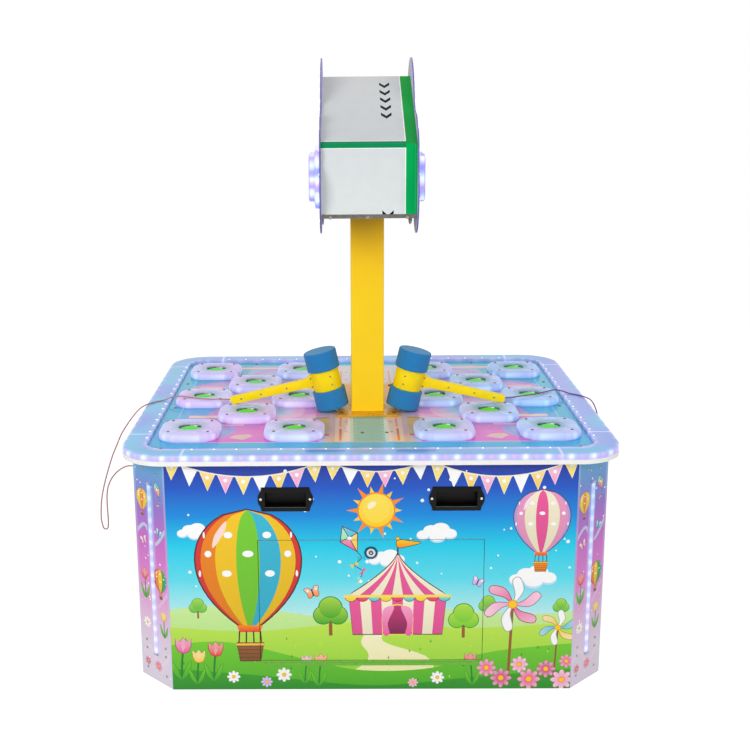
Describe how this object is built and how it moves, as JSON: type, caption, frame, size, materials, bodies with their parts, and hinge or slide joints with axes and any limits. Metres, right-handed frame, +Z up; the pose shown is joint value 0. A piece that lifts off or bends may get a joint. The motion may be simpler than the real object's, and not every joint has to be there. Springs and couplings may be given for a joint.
{
  "type": "mole pounding arcade machine",
  "caption": "Two-player mole pounding arcade table with lit pods, rising moles, tethered foam hammers and a sign on a column.",
  "frame": {"origin": "on the floor, under the middle of the table top", "axes": "+X to the right and -Y towards the viewer of the side with the service door, +Z up"},
  "size_m": [1.5449, 1.216, 1.7717],
  "materials": {
    "printed_board": "printed film, satin",
    "printed_corner": "printed film, satin",
    "plywood": "raw",
    "white_board": "white edge band, satin",
    "lit_border": "translucent printed acrylic, lit from inside",
    "printed_playfield": "print under a clear sheet",
    "frosted_plastic": "frosted, lit from inside",
    "green_plastic": "moulded",
    "yellow_paint": "satin powder coat",
    "yellow_plastic": "moulded",
    "blue_foam": "matte closed-cell foam",
    "white_film": "film on sheet steel",
    "sign_acrylic": "printed acrylic sheet",
    "lit_display": "translucent, lit from inside",
    "light_tube": "frosted, lit from inside",
    "zinc_steel": "zinc plated",
    "chrome": "polished",
    "black_plastic": "moulded",
    "lock_ring": "dark satin",
    "left_cord_skin": "smooth",
    "right_cord_skin": "smooth"
  },
  "bodies": {
    "root": {"cabinet_frame": "plywood", "front_panel": "printed_board", "back_panel": "printed_board", "left_panel": "printed_board", "right_panel": "printed_board", "corner_cover_front_left": "printed_corner", "corner_light_front_left": "light_tube", "corner_cover_front_right": "printed_corner", "corner_light_front_right": "light_tube", "corner_cover_back_left": "printed_corner", "corner_light_back_left": "light_tube", "corner_cover_back_right": "printed_corner", "corner_light_back_right": "light_tube", "door_hinge": "zinc_steel", "table_board": "white_board", "border_frame": "lit_border", "playfield_panel": "printed_playfield", "sign_column": "yellow_paint", "sign_body": "white_film", "power_inlet": "black_plastic", "power_supply": "zinc_steel", "pull_handle_left": "black_plastic", "pod_deck_left": "frosted_plastic", "mole_drive_left": "zinc_steel", "sign_face_left": "sign_acrylic", "score_display_left": "lit_display", "hammer_cord_left": "left_cord_skin", "cord_gland_left": "black_plastic", "pull_handle_right": "black_plastic", "pod_deck_right": "frosted_plastic", "mole_drive_right": "zinc_steel", "sign_face_right": "sign_acrylic", "score_display_right": "lit_display", "hammer_cord_right": "right_cord_skin", "cord_gland_right": "black_plastic"},
    "door": {"service_door": "printed_board", "lock_barrel": "lock_ring"},
    "lock_plug": {"lock_plug": "chrome"},
    "hammer_left": {"hammer_left_handle": "yellow_plastic", "hammer_left_foam_upper": "blue_foam", "hammer_left_foam_lower": "blue_foam"},
    "hammer_right": {"hammer_right_handle": "yellow_plastic", "hammer_right_foam_upper": "blue_foam", "hammer_right_foam_lower": "blue_foam"},
    "mole_left_1": {"mole_left_1": "green_plastic"},
    "mole_left_2": {"mole_left_2": "green_plastic"},
    "mole_left_3": {"mole_left_3": "green_plastic"},
    "mole_left_4": {"mole_left_4": "green_plastic"},
    "mole_left_5": {"mole_left_5": "green_plastic"},
    "mole_left_6": {"mole_left_6": "green_plastic"},
    "mole_left_7": {"mole_left_7": "green_plastic"},
    "mole_left_8": {"mole_left_8": "green_plastic"},
    "mole_right_1": {"mole_right_1": "green_plastic"},
    "mole_right_2": {"mole_right_2": "green_plastic"},
    "mole_right_3": {"mole_right_3": "green_plastic"},
    "mole_right_4": {"mole_right_4": "green_plastic"},
    "mole_right_5": {"mole_right_5": "green_plastic"},
    "mole_right_6": {"mole_right_6": "green_plastic"},
    "mole_right_7": {"mole_right_7": "green_plastic"},
    "mole_right_8": {"mole_right_8": "green_plastic"}
  },
  "joints": [
    {"name": "door_swing", "type": "hinge", "parent": "root", "child": "door", "pos_m": [0, -0.5856, 0.0893], "axis": [1, 0, 0], "range_deg": [0, 90]},
    {"name": "lock_turn", "type": "hinge", "parent": "door", "child": "lock_plug", "pos_m": [0, -0.5833, 0.42], "axis": [0, -1, 0], "range_deg": [0, 90]},
    {"name": "hammer_left_swing", "type": "hinge", "parent": "root", "child": "hammer_left", "pos_m": [-0.41561, -0.112, 0.739], "axis": [0, -1, 0], "range_deg": [0, 70]},
    {"name": "hammer_right_swing", "type": "hinge", "parent": "root", "child": "hammer_right", "pos_m": [0.41561, -0.112, 0.739], "axis": [0, 1, 0], "range_deg": [0, 70]},
    {"name": "mole_left_1_lift", "type": "slide", "parent": "root", "child": "mole_left_1", "axis": [0, 0, 1], "range_m": [0, 0.045]},
    {"name": "mole_left_2_lift", "type": "slide", "parent": "root", "child": "mole_left_2", "axis": [0, 0, 1], "range_m": [0, 0.045]},
    {"name": "mole_left_3_lift", "type": "slide", "parent": "root", "child": "mole_left_3", "axis": [0, 0, 1], "range_m": [0, 0.045]},
    {"name": "mole_left_4_lift", "type": "slide", "parent": "root", "child": "mole_left_4", "axis": [0, 0, 1], "range_m": [0, 0.045]},
    {"name": "mole_left_5_lift", "type": "slide", "parent": "root", "child": "mole_left_5", "axis": [0, 0, 1], "range_m": [0, 0.045]},
    {"name": "mole_left_6_lift", "type": "slide", "parent": "root", "child": "mole_left_6", "axis": [0, 0, 1], "range_m": [0, 0.045]},
    {"name": "mole_left_7_lift", "type": "slide", "parent": "root", "child": "mole_left_7", "axis": [0, 0, 1], "range_m": [0, 0.045]},
    {"name": "mole_left_8_lift", "type": "slide", "parent": "root", "child": "mole_left_8", "axis": [0, 0, 1], "range_m": [0, 0.045]},
    {"name": "mole_right_1_lift", "type": "slide", "parent": "root", "child": "mole_right_1", "axis": [0, 0, 1], "range_m": [0, 0.045]},
    {"name": "mole_right_2_lift", "type": "slide", "parent": "root", "child": "mole_right_2", "axis": [0, 0, 1], "range_m": [0, 0.045]},
    {"name": "mole_right_3_lift", "type": "slide", "parent": "root", "child": "mole_right_3", "axis": [0, 0, 1], "range_m": [0, 0.045]},
    {"name": "mole_right_4_lift", "type": "slide", "parent": "root", "child": "mole_right_4", "axis": [0, 0, 1], "range_m": [0, 0.045]},
    {"name": "mole_right_5_lift", "type": "slide", "parent": "root", "child": "mole_right_5", "axis": [0, 0, 1], "range_m": [0, 0.045]},
    {"name": "mole_right_6_lift", "type": "slide", "parent": "root", "child": "mole_right_6", "axis": [0, 0, 1], "range_m": [0, 0.045]},
    {"name": "mole_right_7_lift", "type": "slide", "parent": "root", "child": "mole_right_7", "axis": [0, 0, 1], "range_m": [0, 0.045]},
    {"name": "mole_right_8_lift", "type": "slide", "parent": "root", "child": "mole_right_8", "axis": [0, 0, 1], "range_m": [0, 0.045]}
  ]
}
